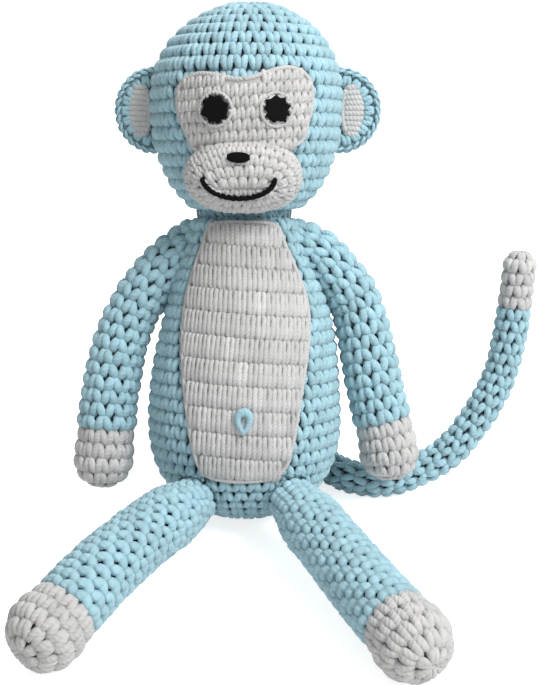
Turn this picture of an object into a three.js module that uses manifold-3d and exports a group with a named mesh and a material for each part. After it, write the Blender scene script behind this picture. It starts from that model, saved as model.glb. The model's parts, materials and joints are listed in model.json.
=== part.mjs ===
// A crochet monkey that sits: stuffed body and head, sewn-on arms, legs, ears and tail, and a white face and belly.
// Millimetres. +Z is up, the monkey faces -Y, and +X is its own left. The origin is on the floor under its seat.
// A profile is a list of points: x is the distance from the axis, y the place along it.

import * as THREE from 'three';
import { mergeVertices } from 'three/addons/utils/BufferGeometryUtils.js';
import Module from 'manifold-3d';

const wasm = await Module();
wasm.setup();

const degree = Math.PI / 180;

// Cloth, yarn and the gap between neighbouring pieces
const gap = 0.3;
const fabric = 2.6;
const patchThickness = 2.2;
const seamYarn = 0.8;
const closingHole = 8;
const seatFlat = 0.5;

// Body: an egg that leans back, with a dome on top for the head to sit on. The egg's own top would lie over the
// neck's pivot, and the dome stands on a ledge below it.
const torsoLean = 18;
const bellyRadius = 42;
const seatDepth = 42;
const seatSquareness = 2.25;
const neckHeight = 94;
const eggOverNeck = 7;
const ledgeUnderNeck = 7;
const torsoRise = neckHeight + eggOverNeck;
const shoulderHeight = neckHeight - ledgeUnderNeck;
const neckDomeRadius = 19.5;

// Head: an egg, rounder above and squarer below
const headLean = 12;
const headRadius = 40.3;
const headHeight = 46.4;
const jawSquareness = 2.45;
const headRimDrop = 0.5;
const neckSeamBottom = -6;
const neckSeamTop = 14;

// Face patch: two lobes above, in the head's own frame, across and up from the head's centre
const patchTilt = 3;
const patchDip = 12.8;
const patchLobe = { across: 18.5, up: 16.6 };
const patchBrow = { across: 26.3, up: 12.5 };
const patchCheek = { across: 28, up: 3 };
const patchSide = { across: 25.2, up: -6 };
const patchFoot = { across: 21, up: -14 };
const patchShift = 1;

// Muzzle: a domed oval set on the lower face
const muzzle = { across: 24.5, up: 15.9, out: 12, tilt: 24, forward: 33.5, down: 26.2 };

// Eyes, nose and mouth
const eyeRadius = 5.6;
const eyeThickness = 1.4;
const eyeRingYarn = 0.8;
const eyeSpacing = 24.6;
const eyeShift = 1.9;
const eyeUp = 1.2;
const noseSize = { across: 4.8, up: 1.75, out: 1.3 };
const noseUp = 11.6;
const mouthSize = { across: 14.6, drop: 8.2, top: 3.5, yarn: 1.1 };

// Ears: flat half rounds that stand out sideways, each with a white oval let into its front
const ear = { reach: 16.8, halfHeight: 17.2, up: 1.5, thickness: 7, edge: 2 };
const earOval = { across: 5.2, up: 10.2, reach: 5.6, recess: 2.4, proud: 0.6 };

// Belly panel, in the body's own frame, across and up from the belly's centre
const panelHalfWidth = [[-27.5, 14], [-21, 21.5], [-3, 24.5], [22, 27.2], [45, 26.5], [62, 22], [78, 15.5]];
const panelUnderLedge = 3;
const panelTop = shoulderHeight - panelUnderLedge;
const panelBottom = -29.5;
const navel = { across: 4, up: 5.6, yarn: 1.2, height: 0 };

// Limbs: distances along the limb start at its pivot. The shaft swells from the root to its upper radius, runs to
// the join with the white end, and the white end widens to its ball and closes at the tip.
const arm = { rootRadius: 6, upperRadius: 10.1, swell: 24, joinRadius: 12.1, join: 87, ballRadius: 13.2,
  ball: 101, tip: 114 };
const leg = { rootRadius: 9.5, upperRadius: 12.2, swell: 22, joinRadius: 13.2, join: 76, ballRadius: 15.3,
  ball: 89, tip: 104.3 };
const tail = { rootRadius: 6, upperRadius: 6.9, swell: 14, joinRadius: 7.3, ballRadius: 7, tipLength: 27 };
const rootHole = 25;
const limbSeamRim = 56;
const limbSeamHub = 78;

// Where the limbs join the body. Each pivot stands a little proud of the body's surface.
const shoulder = { proud: 5.82, up: 78.6 };
const armForward = 4;
const armRoute = [[0, 0], [8, -6.7], [14.6, -16.6], [21, -29.9], [25, -43.6], [27.6, -56], [30.5, -68.5],
  [31.9, -82.5], [32.2, -110]];
const hipProud = 5.48;
const hipDirection = new THREE.Vector3(0.44, -0.825, -0.35).normalize();
const legSpread = { left: 26.2, right: 33.8 };
const tailRoot = { proud: 4.92, direction: new THREE.Vector3(0.3, 0.82, -0.49).normalize() };
const tailRoute = [[24, 35, 12], [33, 27, 7.4], [40, 17.5, 6.6], [49, 9.5, 6.6], [61, 5.8, 7.6], [75, 7, 11.4],
  [94, 9, 22.8], [107, 13, 38.5], [116, 17, 53.4], [120, 21, 71.7], [122, 24, 90], [122.5, 27, 115]];

// Facets: how many go round, and how many steps a form takes along its axis
const bodySides = 24;
const bodySteps = 7;
const armSides = 12;
const legSides = 14;
const tailSides = 10;
const seamSides = 14;
const dentSides = 14;
const inner = { sides: 12, steps: 4, limbSides: 8, slack: 0.5 };
const shaftStep = 12;
const routeSamples = 80;
const mouthSteps = 12;

const blueYarn = new THREE.MeshStandardMaterial({ color: 0x8fcbd6, roughness: 0.9, metalness: 0 });
const whiteYarn = new THREE.MeshStandardMaterial({ color: 0xd8d5d2, roughness: 0.9, metalness: 0 });
const blackYarn = new THREE.MeshStandardMaterial({ color: 0x141414, roughness: 0.8, metalness: 0 });
const fibre = new THREE.MeshStandardMaterial({ color: 0xf2f0ea, roughness: 1, metalness: 0 });

// Closed geometry and solids

function closed(geometry) {
  const bare = geometry.clone();
  for (const name of Object.keys(bare.attributes)) {
    if (name !== 'position') bare.deleteAttribute(name);
  }
  const merged = mergeVertices(bare, 1e-4);
  const at = merged.attributes.position;
  const [a, b, c] = [new THREE.Vector3(), new THREE.Vector3(), new THREE.Vector3()];
  const kept = [];
  let volume = 0;
  for (let i = 0; i < merged.index.count; i += 3) {
    const corners = [0, 1, 2].map((k) => merged.index.getX(i + k));
    if (new Set(corners).size < 3) continue;
    a.fromBufferAttribute(at, corners[0]);
    b.fromBufferAttribute(at, corners[1]);
    c.fromBufferAttribute(at, corners[2]);
    volume += a.dot(b.cross(c));
    kept.push(corners);
  }
  const facing = volume < 0 ? kept.map(([p, q, r]) => [p, r, q]) : kept;
  merged.setIndex(facing.flat());
  return merged;
}

function solid(geometry) {
  const merged = closed(geometry);
  return new wasm.Manifold(new wasm.Mesh({
    numProp: 3,
    vertProperties: new Float32Array(merged.attributes.position.array),
    triVerts: new Uint32Array(merged.index.array),
  }));
}

function geometryOf(body) {
  const mesh = body.getMesh();
  const geometry = new THREE.BufferGeometry();
  geometry.setAttribute('position', new THREE.BufferAttribute(new Float32Array(mesh.vertProperties), 3));
  geometry.setIndex(new THREE.BufferAttribute(new Uint32Array(mesh.triVerts), 1));
  return geometry;
}

function cut(body, ...cutters) {
  return cutters.reduce((left, cutter) => left.subtract(cutter), body);
}

// A ball whose facets touch its radius from outside, so what it cuts is never smaller than it says
function ball(radius, centre, sides) {
  const corner = radius / Math.cos(Math.PI / sides);
  return solid(new THREE.SphereGeometry(corner, sides, sides / 2).translate(centre.x, centre.y, centre.z));
}

// The floor, as a slab in the frame of one group
function floorUnder(group) {
  const size = 600;
  const slab = new THREE.BoxGeometry(size, size, size).translate(0, 0, -size / 2);
  return solid(slab.applyMatrix4(group.matrixWorld.clone().invert()));
}

function place(parent, name, geometry, material) {
  const mesh = new THREE.Mesh(geometry, material);
  geometry.computeVertexNormals();
  mesh.name = name;
  parent.add(mesh);
}

// Profiles

function ovalArc(radius, height, squareness, from, to, steps) {
  const points = [];
  for (let i = 0; i <= steps; i++) {
    const angle = (from + (to - from) * i / steps) * degree;
    const across = Math.pow(Math.max(Math.cos(angle), 0), 2 / squareness);
    const along = Math.sign(angle) * Math.pow(Math.abs(Math.sin(angle)), 2 / squareness);
    points.push(new THREE.Vector2(across < 1e-6 ? 0 : radius * across, height * along));
  }
  return points;
}

function arcAbout(centre, radius, from, to, steps) {
  return ovalArc(radius, radius, 2, from, to, steps).map((p) => new THREE.Vector2(p.x, p.y + centre));
}

function shellProfile(outer, inner) {
  return [...outer, ...inner.slice().reverse(), outer[0].clone()];
}

function turned(profile, sides) {
  return closed(new THREE.LatheGeometry(profile, sides).rotateX(Math.PI / 2));
}

// A round section carried along a curve. Before the curve's start and after its end it carries on straight.
function sweep(profile, curve, sides) {
  const frames = curve.computeFrenetFrames(routeSamples, false);
  const length = curve.getLength();
  const positions = [];
  for (const point of profile) {
    const share = THREE.MathUtils.clamp(point.y / length, 0, 1);
    const nearest = Math.round(share * routeSamples);
    const centre = curve.getPointAt(share);
    centre.addScaledVector(frames.tangents[nearest], point.y - share * length);
    for (let k = 0; k < sides; k++) {
      const angle = 2 * Math.PI * k / sides;
      const corner = centre.clone();
      corner.addScaledVector(frames.normals[nearest], point.x * Math.cos(angle));
      corner.addScaledVector(frames.binormals[nearest], point.x * Math.sin(angle));
      positions.push(corner.x, corner.y, corner.z);
    }
  }
  const index = [];
  for (let ring = 0; ring + 1 < profile.length; ring++) {
    if (profile[ring].x + profile[ring + 1].x === 0) continue;
    for (let k = 0; k < sides; k++) {
      const next = (k + 1) % sides;
      const [p, q] = [ring * sides + k, ring * sides + next];
      index.push(p, q, q + sides, p, q + sides, p + sides);
    }
  }
  const geometry = new THREE.BufferGeometry();
  geometry.setAttribute('position', new THREE.Float32BufferAttribute(positions, 3));
  geometry.setIndex(index);
  return closed(geometry);
}

// Body and head forms, drawn in from their outer surface by an inset

function torsoForm(inset, steps = bodySteps, sides = bodySides) {
  const ledge = shoulderHeight - Math.max(inset, 0);
  const rise = torsoRise - inset;
  const dome = neckDomeRadius - inset;
  return turned([
    ...ovalArc(bellyRadius - inset, seatDepth - inset, seatSquareness, -90, 0, steps),
    ...ovalArc(bellyRadius - inset, rise, 2, 0, Math.asin(ledge / rise) / degree, steps).slice(1),
    ...arcAbout(neckHeight, dome, Math.asin((ledge - neckHeight) / dome) / degree, 90, 4),
  ], sides);
}

function headForm(inset, steps = bodySteps, sides = bodySides) {
  return turned([
    ...ovalArc(headRadius - inset, headHeight - inset, jawSquareness, -90, 0, steps),
    ...ovalArc(headRadius - inset, headHeight - inset, 2, 0, 90, steps).slice(1),
  ], sides);
}

// The lowest point of the leaning torso, from the belly's centre
function lowestOfTorso() {
  const lean = torsoLean * degree;
  const drops = ovalArc(bellyRadius, seatDepth, seatSquareness, -90, 0, 360).map((p) => ({
    y: p.x * Math.cos(lean) + p.y * Math.sin(lean),
    z: -p.x * Math.sin(lean) + p.y * Math.cos(lean),
  }));
  return drops.reduce((low, drop) => (drop.z < low.z ? drop : low));
}

// How far the torso's surface lies from the belly's centre, in a direction that points below the middle
function seatReach(direction) {
  const own = direction.clone().applyAxisAngle(new THREE.Vector3(1, 0, 0), torsoLean * degree);
  const across = Math.hypot(own.x, own.y) / bellyRadius;
  const along = Math.abs(own.z) / seatDepth;
  return Math.pow(across ** seatSquareness + along ** seatSquareness, -1 / seatSquareness);
}

// How far the torso's surface lies from its axis, at a height above the middle
function torsoRadiusAt(up) {
  return bellyRadius * Math.sqrt(1 - (up / torsoRise) ** 2);
}

// How far the filling stays inside a cover's outer surface
const loose = fabric + gap + inner.slack;

// Limb profiles

function shaftRadius(limb, along) {
  const swelling = Math.sin(Math.min(along / limb.swell, 1) * 90 * degree);
  const tapering = Math.max(along - limb.swell, 0) / (limb.join - limb.swell);
  return limb.rootRadius + (limb.upperRadius - limb.rootRadius) * swelling
    + (limb.joinRadius - limb.upperRadius) * tapering;
}

function endRadius(limb, along) {
  const share = (along - limb.join) / (limb.ball - limb.join);
  return limb.joinRadius + (limb.ballRadius - limb.joinRadius) * (1 - Math.cos(share * Math.PI)) / 2;
}

function shaftProfile(limb, inset, rootAngle, to) {
  const points = arcAbout(0, limb.rootRadius - inset, rootAngle, 0, 2);
  const steps = Math.round(to / shaftStep);
  for (let i = 1; i <= steps; i++) {
    const along = to * i / steps;
    points.push(new THREE.Vector2(shaftRadius(limb, along) - inset, along));
  }
  return points;
}

function endProfile(limb, inset, from) {
  const points = [];
  for (let i = 0; i < 2; i++) {
    const along = from + (limb.ball - from) * i / 2;
    points.push(new THREE.Vector2(endRadius(limb, along) - inset, along));
  }
  const cap = ovalArc(limb.ballRadius - inset, limb.tip - limb.ball - inset, 2, 0, 90, 4);
  return [...points, ...cap.map((p) => new THREE.Vector2(p.x, p.y + limb.ball))];
}

function limbPieces(limb, build) {
  const rootAngle = rootHole - 90;
  const [before, after] = [limb.join - gap / 2, limb.join + gap / 2];
  return {
    cover: build(shellProfile(shaftProfile(limb, 0, rootAngle, before),
      shaftProfile(limb, fabric, rootAngle, before))),
    end: build(shellProfile(endProfile(limb, 0, after), endProfile(limb, fabric, after))),
    filling: build([...shaftProfile(limb, loose, -90, limb.join),
      ...endProfile(limb, loose, limb.join).slice(1)], inner.limbSides),
  };
}

// A seam is a band of sewing yarn wound round a joint, between two spheres about its pivot
function seamBand(pivotRadius, from, to, sides) {
  const [near, far] = [pivotRadius + gap, pivotRadius + gap + seamYarn];
  return turned(shellProfile(arcAbout(0, far, from, to, 2), arcAbout(0, near, from, to, 2)), sides);
}

function socketRadius(pivotRadius) {
  return pivotRadius + seamYarn + 2 * gap;
}

// Turns +Z towards a direction
function aim(group, direction) {
  group.quaternion.setFromUnitVectors(new THREE.Vector3(0, 0, 1), direction);
}

// The frame: groups for the torso, the neck, the head and each limb

const monkey = new THREE.Group();
const seat = lowestOfTorso();
const bellyCentre = new THREE.Vector3(0, -seat.y, -seat.z - seatFlat);

const torso = new THREE.Group();
torso.position.copy(bellyCentre);
torso.rotation.x = -torsoLean * degree;
monkey.add(torso);

const neck = new THREE.Group();
neck.position.set(0, 0, neckHeight);
neck.rotation.x = (torsoLean - headLean) * degree;
torso.add(neck);

// The head's rim, where its outer surface meets the socket, stands just under the pivot
const neckSocket = socketRadius(neckDomeRadius);
const rimShare = Math.pow(1 - Math.pow((neckSocket + fabric / 2) / headRadius, jawSquareness), 1 / jawSquareness);
const head = new THREE.Group();
head.position.set(0, 0, headHeight * rimShare - headRimDrop);
neck.add(head);

const sides = [{ name: 'left', sign: 1 }, { name: 'right', sign: -1 }];
const shoulders = {};
const hips = {};
for (const { name, sign } of sides) {
  shoulders[name] = new THREE.Group();
  shoulders[name].position.set(sign * (torsoRadiusAt(shoulder.up) + shoulder.proud), 0, shoulder.up);
  shoulders[name].rotation.x = -armForward * degree;
  torso.add(shoulders[name]);

  hips[name] = new THREE.Group();
  const outward = hipDirection.clone().multiply(new THREE.Vector3(sign, 1, 1));
  hips[name].position.copy(bellyCentre).addScaledVector(outward, seatReach(outward) + hipProud);
  const drop = (hips[name].position.z - (leg.ballRadius - seatFlat)) / leg.ball;
  const level = Math.sqrt(1 - drop * drop);
  const spread = legSpread[name] * degree;
  aim(hips[name], new THREE.Vector3(sign * level * Math.sin(spread), -level * Math.cos(spread), -drop));
  monkey.add(hips[name]);
}

const rump = new THREE.Group();
rump.position.copy(bellyCentre).addScaledVector(tailRoot.direction,
  seatReach(tailRoot.direction) + tailRoot.proud);
monkey.add(rump);
monkey.updateMatrixWorld(true);

// Dents in the body where the limbs sit, in the torso's frame
function dents(grow, around = dentSides) {
  const toTorso = torso.matrixWorld.clone().invert();
  const joints = [
    ...sides.map(({ name }) => [shoulders[name], arm.rootRadius]),
    ...sides.map(({ name }) => [hips[name], leg.rootRadius]),
    [rump, tail.rootRadius],
  ];
  return joints.map(([group, radius]) => {
    const centre = new THREE.Vector3().setFromMatrixPosition(group.matrixWorld).applyMatrix4(toTorso);
    return ball(socketRadius(radius) + grow, centre, around);
  });
}

// Body

const torsoOuter = solid(torsoForm(0));
const torsoCavity = cut(solid(torsoForm(fabric)), ...dents(fabric));
const neckHole = solid(new THREE.CylinderGeometry(closingHole / 2, closingHole / 2, 4 * fabric, 12)
  .rotateX(Math.PI / 2).translate(0, 0, neckHeight + neckDomeRadius - fabric));
const floor = floorUnder(torso);
place(torso, 'body_cover', geometryOf(cut(torsoOuter, torsoCavity, neckHole, ...dents(0), floor)), blueYarn);
place(torso, 'body_filling', geometryOf(cut(solid(torsoForm(loose, inner.steps, inner.sides)),
  ...dents(loose, inner.sides))), fibre);

function panelShape() {
  const rightEdge = panelHalfWidth.map(([up, half]) => new THREE.Vector3(half, up, 0));
  const leftEdge = rightEdge.map((p) => new THREE.Vector3(-p.x, p.y, 0)).reverse();
  const loop = [new THREE.Vector3(0, panelBottom, 0), ...rightEdge, new THREE.Vector3(0, panelTop, 0), ...leftEdge];
  return new THREE.Shape(new THREE.CatmullRomCurve3(loop, true).getPoints(40));
}

function pushedForward(shape, depth) {
  return solid(new THREE.ExtrudeGeometry(shape, { depth, bevelEnabled: false, steps: 1 }).rotateX(Math.PI / 2));
}

const panelSkin = solid(torsoForm(-gap - patchThickness)).subtract(solid(torsoForm(-gap)));
const panelReach = pushedForward(panelShape(), 2 * bellyRadius);
place(torso, 'belly_panel', geometryOf(cut(panelSkin.intersect(panelReach), ...dents(gap))), whiteYarn);

function loopOf(across, up, yarn) {
  const ring = new THREE.TorusGeometry(1, 0.5, 5, 16);
  const at = ring.attributes.position;
  for (let i = 0; i < at.count; i++) {
    const [x, y] = [at.getX(i), at.getY(i)];
    const reach = Math.hypot(x, y);
    const outward = (reach - 1) * 2 * yarn;
    at.setXYZ(i, x / reach * (across + outward), y / reach * (up + outward), at.getZ(i) * 2 * yarn);
  }
  return ring.rotateX(Math.PI / 2);
}

const navelOut = bellyRadius + gap + patchThickness + gap + navel.yarn;
place(torso, 'navel', closed(loopOf(navel.across, navel.up, navel.yarn).translate(0, -navelOut, navel.height)),
  blueYarn);

// Neck and head

place(torso, 'neck_seam', seamBand(neckDomeRadius, neckSeamBottom, neckSeamTop, bodySides)
  .translate(0, 0, neckHeight), blueYarn);

const headPivot = head.position.clone().negate();
const headOuter = solid(headForm(0));
const neckSpace = ball(neckSocket, headPivot, bodySides);
const neckClear = ball(neckSocket + gap, headPivot, bodySides);
place(head, 'head_cover', geometryOf(cut(headOuter, solid(headForm(fabric)), neckSpace)), blueYarn);
place(head, 'head_filling', geometryOf(cut(solid(headForm(loose, inner.steps, inner.sides)), neckClear)), fibre);

// Muzzle: a frame on the lower face whose -Y points out

const muzzleFrame = new THREE.Group();
muzzleFrame.position.set(0, -muzzle.forward, -muzzle.down);
muzzleFrame.rotation.x = muzzle.tilt * degree;
muzzleFrame.updateMatrix();

function muzzleForm(inset) {
  return solid(new THREE.SphereGeometry(1, 20, 10)
    .scale(muzzle.across - inset, muzzle.out - inset, muzzle.up - inset)
    .applyMatrix4(muzzleFrame.matrix));
}

const headClear = solid(headForm(-gap));
place(head, 'muzzle_cover', geometryOf(cut(muzzleForm(0), muzzleForm(fabric), headClear, neckClear)), whiteYarn);
place(head, 'muzzle_filling', geometryOf(cut(muzzleForm(fabric + gap), headClear, neckClear)), fibre);

// Face patch

function patchShape() {
  const half = [patchLobe, patchBrow, patchCheek, patchSide, patchFoot];
  const right = half.map((p) => new THREE.Vector3(p.across, p.up, 0));
  const left = right.map((p) => new THREE.Vector3(-p.x, p.y, 0)).reverse();
  const loop = [new THREE.Vector3(0, patchDip, 0), ...right, ...left];
  const tilt = new THREE.Matrix4().makeRotationZ(patchTilt * degree).setPosition(patchShift, 0, 0);
  return new THREE.Shape(new THREE.CatmullRomCurve3(loop.map((p) => p.applyMatrix4(tilt)), true).getPoints(44));
}

const patchSkin = solid(headForm(-gap - patchThickness)).subtract(headClear);
const patchReach = pushedForward(patchShape(), 2 * headRadius);
place(head, 'face_patch', geometryOf(cut(patchSkin.intersect(patchReach), muzzleForm(-gap))), whiteYarn);

// Eyes: a disc and the ring of white yarn round it, facing out from the head's axis

for (const { name, sign } of sides) {
  const across = eyeShift + sign * eyeSpacing / 2;
  const surface = headRadius + gap + patchThickness + gap;
  const forward = Math.sqrt(surface * surface - across * across);
  const outward = new THREE.Vector3(across, -forward, 0).normalize();
  const eye = new THREE.Group();
  eye.position.copy(outward).multiplyScalar(surface + eyeThickness / 2).setZ(eyeUp);
  aim(eye, outward);
  head.add(eye);
  place(eye, `eye_${name}`, closed(new THREE.CylinderGeometry(eyeRadius, eyeRadius, eyeThickness, 18)
    .rotateX(Math.PI / 2)), blackYarn);
  const ringRadius = eyeRadius + gap + eyeRingYarn;
  place(eye, `eye_ring_${name}`, closed(new THREE.TorusGeometry(ringRadius, eyeRingYarn, 5, 18)), whiteYarn);
}

// Nose and mouth, on the muzzle's surface. The places are in the muzzle's frame.

function onMuzzle(across, up, proud) {
  const [u, v] = [across / muzzle.across, up / muzzle.up];
  const out = muzzle.out * Math.sqrt(1 - u * u - v * v);
  const normal = new THREE.Vector3(across / muzzle.across ** 2, -out / muzzle.out ** 2, up / muzzle.up ** 2);
  normal.normalize();
  const point = new THREE.Vector3(across, -out, up).addScaledVector(normal, proud);
  return { point: point.applyMatrix4(muzzleFrame.matrix), normal: normal.transformDirection(muzzleFrame.matrix) };
}

const noseSeat = onMuzzle(0, noseUp, gap + noseSize.out);
const nose = new THREE.Group();
nose.position.copy(noseSeat.point);
aim(nose, noseSeat.normal);
head.add(nose);
place(nose, 'nose', closed(new THREE.SphereGeometry(1, 12, 6)
  .scale(noseSize.across, noseSize.up, noseSize.out)), blackYarn);

const mouthPoints = [];
for (let i = 0; i <= mouthSteps; i++) {
  const angle = (180 + 180 * i / mouthSteps) * degree;
  const up = mouthSize.top + mouthSize.drop * Math.sin(angle);
  mouthPoints.push(onMuzzle(mouthSize.across * Math.cos(angle), up, gap + mouthSize.yarn).point);
}
const mouthRoute = new THREE.CatmullRomCurve3(mouthPoints);
const mouthProfile = [new THREE.Vector2(0, 0)];
for (let i = 0; i <= mouthSteps; i++) {
  mouthProfile.push(new THREE.Vector2(mouthSize.yarn, mouthRoute.getLength() * i / mouthSteps));
}
mouthProfile.push(new THREE.Vector2(0, mouthRoute.getLength()));
place(head, 'mouth', sweep(mouthProfile, mouthRoute, 6), blackYarn);

// Ears: the root edge stands against the side of the head

function halfRound(across, halfHeight, steps) {
  const points = [];
  for (let i = 0; i <= steps; i++) {
    const angle = (-90 + 180 * i / steps) * degree;
    points.push(new THREE.Vector2(across * Math.cos(angle), halfHeight * Math.sin(angle)));
  }
  return new THREE.Shape(points);
}

function earOvalForm(inset, front, back) {
  const oval = new THREE.Shape();
  oval.absellipse(earOval.reach, 0, earOval.across - inset, earOval.up - inset, 0, 2 * Math.PI, false, 0);
  const body = new THREE.ExtrudeGeometry(oval, { depth: back - front, bevelEnabled: false, curveSegments: 16 });
  return solid(body.rotateX(Math.PI / 2).translate(0, back, 0));
}

for (const { name, sign } of sides) {
  const hinge = new THREE.Group();
  hinge.position.set(sign * (headRadius + gap + ear.edge), 0, ear.up);
  hinge.scale.x = sign;
  head.add(hinge);
  const front = -ear.thickness / 2;
  const plate = new THREE.ExtrudeGeometry(
    halfRound(ear.reach - 2 * ear.edge, ear.halfHeight - ear.edge, 12),
    { depth: ear.thickness - 2 * ear.edge, bevelThickness: ear.edge, bevelSize: ear.edge, bevelSegments: 2 },
  ).rotateX(Math.PI / 2).translate(0, ear.thickness / 2 - ear.edge, 0);
  const recess = earOvalForm(0, front - earOval.recess, front + earOval.recess);
  place(hinge, `ear_${name}_outer`, geometryOf(solid(plate).subtract(recess)), blueYarn);
  place(hinge, `ear_${name}_inner`,
    geometryOf(earOvalForm(gap, front - earOval.proud, front + earOval.recess - gap)), whiteYarn);
}

// Arms, in the shoulder's frame

for (const { name, sign } of sides) {
  const route = new THREE.CatmullRomCurve3(armRoute.map(([out, up]) => new THREE.Vector3(sign * out, 0, up)));
  const pieces = limbPieces(arm, (profile, around = armSides) => sweep(profile, route, around));
  place(shoulders[name], `arm_${name}_cover`, pieces.cover, blueYarn);
  place(shoulders[name], `hand_${name}`, pieces.end, whiteYarn);
  place(shoulders[name], `arm_${name}_filling`, pieces.filling, fibre);

  const seam = new THREE.Group();
  seam.position.copy(shoulders[name].position);
  aim(seam, new THREE.Vector3(-sign, 0, 0));
  torso.add(seam);
  place(seam, `arm_${name}_seam`, seamBand(arm.rootRadius, limbSeamRim, limbSeamHub, seamSides), blueYarn);
}

// Legs, straight along the hip's +Z, cut flat where they lie on the floor

for (const { name } of sides) {
  const hip = hips[name];
  const under = floorUnder(hip);
  const pieces = limbPieces(leg, (profile, around = legSides) => turned(profile, around));
  place(hip, `leg_${name}_cover`, pieces.cover, blueYarn);
  place(hip, `foot_${name}`, geometryOf(solid(pieces.end).subtract(under)), whiteYarn);
  place(hip, `leg_${name}_filling`, pieces.filling, fibre);

  const seam = new THREE.Group();
  seam.position.copy(hip.position);
  aim(seam, bellyCentre.clone().sub(hip.position).normalize());
  monkey.add(seam);
  place(seam, `leg_${name}_seam`, seamBand(leg.rootRadius, limbSeamRim, limbSeamHub, seamSides), blueYarn);
}

// Tail, in the rump's frame

const tailRouteCurve = new THREE.CatmullRomCurve3([
  new THREE.Vector3(0, 0, 0),
  ...tailRoute.map((point) => new THREE.Vector3(...point).sub(rump.position)),
]);
tail.tip = tailRouteCurve.getLength();
tail.ball = tail.tip - tail.ballRadius;
tail.join = tail.tip - tail.tipLength;
const tailFloor = floorUnder(rump);
const tailPieces = limbPieces(tail, (profile, around = tailSides) => sweep(profile, tailRouteCurve, around));
place(rump, 'tail_cover', geometryOf(solid(tailPieces.cover).subtract(tailFloor)), blueYarn);
place(rump, 'tail_tip', tailPieces.end, whiteYarn);
place(rump, 'tail_filling', tailPieces.filling, fibre);

const tailSeam = new THREE.Group();
tailSeam.position.copy(rump.position);
aim(tailSeam, tailRoot.direction.clone().negate());
monkey.add(tailSeam);
place(tailSeam, 'tail_seam', seamBand(tail.rootRadius, limbSeamRim, limbSeamHub, seamSides), blueYarn);

export default monkey;
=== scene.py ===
"""A crochet monkey in yarn. Every stitch is a pair of plump strands laid on the form that it covers.

Lengths are in millimetres, and become metres where a mesh is made. The monkey faces -Y, its own left is +X.
"""

import json
import math

import bpy
import numpy as np
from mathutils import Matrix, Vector
from mathutils.geometry import delaunay_2d_cdt


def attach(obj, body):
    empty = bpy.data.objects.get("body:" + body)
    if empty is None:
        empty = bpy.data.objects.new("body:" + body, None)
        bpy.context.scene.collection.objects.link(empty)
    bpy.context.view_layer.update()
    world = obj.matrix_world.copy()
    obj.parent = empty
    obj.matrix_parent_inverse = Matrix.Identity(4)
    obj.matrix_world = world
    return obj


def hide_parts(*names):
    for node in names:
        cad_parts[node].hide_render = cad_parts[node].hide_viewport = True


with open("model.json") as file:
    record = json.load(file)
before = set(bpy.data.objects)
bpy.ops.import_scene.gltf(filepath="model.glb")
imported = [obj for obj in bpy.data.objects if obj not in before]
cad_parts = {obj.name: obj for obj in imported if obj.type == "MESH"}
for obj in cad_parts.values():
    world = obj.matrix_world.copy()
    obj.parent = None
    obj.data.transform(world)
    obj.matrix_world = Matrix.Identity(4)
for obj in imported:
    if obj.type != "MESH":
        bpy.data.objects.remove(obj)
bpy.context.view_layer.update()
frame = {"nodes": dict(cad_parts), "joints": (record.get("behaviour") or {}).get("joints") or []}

MM = 0.001
TAU = 2 * math.pi
PIVOT = {joint["name"]: np.array(joint["pos_m"]) / MM for joint in frame["joints"]}

# Body
TORSO_LEAN = 18
BELLY_RADIUS = 42
SEAT_DEPTH = 42
SEAT_SQUARENESS = 2.25
NECK_HEIGHT = 94
TORSO_RISE = NECK_HEIGHT + 7
SHOULDER_HEIGHT = NECK_HEIGHT - 4.5
SHOULDER_FILL = {"from": 66, "most": 4.5}
TORSO_SQUARENESS = 1.88
TORSO_SWAY = {"most": 1.4, "height": 50, "reach": 24}
NECK_DOME = 19.5

# Head
HEAD_LEAN = 12
HEAD_RADIUS = 40.7
HEAD_TOP = 45.6
HEAD_BOTTOM = 46
HEAD_WIDEST = 8
CROWN_SQUARENESS = 2
JAW_SQUARENESS = 2.45
HEAD_SWAY = {"all": 1.1, "crown": 2.2}
HEAD_OVER_NECK = 41.16
NECK_SOCKET = 20.9

# Face patch, across and up from the head's centre: the dip between its lobes, then one side going down
PATCH_DIP = 13.7
PATCH_SIDE = [(18.5, 17), (26.1, 12.6), (27.5, 3), (25, -6), (21, -14)]
PATCH_TILT = 4
PATCH_SHIFT = 0.4
PATCH_LIFT = 0.4

# Muzzle
MUZZLE_ACROSS = 24
MUZZLE_UP = 15.3
MUZZLE_SQUARENESS = 2.3
MUZZLE_OUT = 12
MUZZLE_TILT = 24
MUZZLE_PLACE = (33.5, 25.5)
MUZZLE_SHIFT = 0.5
MUZZLE_CHAIN = 9
MUZZLE_WRAP = 118
MUZZLE_LENGTH = 28

# Eyes, nose and mouth
EYE_SPACING = 24.6
EYE_SHIFT = 1.9
EYE_UP = 1.2
EYE_PROUD = 2
EYE_REACH = 5.9
EYE_VALLEY = 4.4
EYE_POINTS = {"left": 9, "right": 8}
EYE_TURN = 0.3
EYE_VARIETY = {"point": 0.14, "valley": 0.08, "reach": 0.3, "depth": 0.2}
EYE_DOME = {"height": 0.6, "fall": 0.006}
EYE_THICKNESS = (0.35, -1.6)
EYE_RING = 0.7
FACE_SHIFT = -1.6
NOSE_UP = 11.6
NOSE_HALF = (4.3, 1.1)
MOUTH = {"across": 13.8, "drop": 6.7, "top": 3.8, "stitches": 17}

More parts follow.
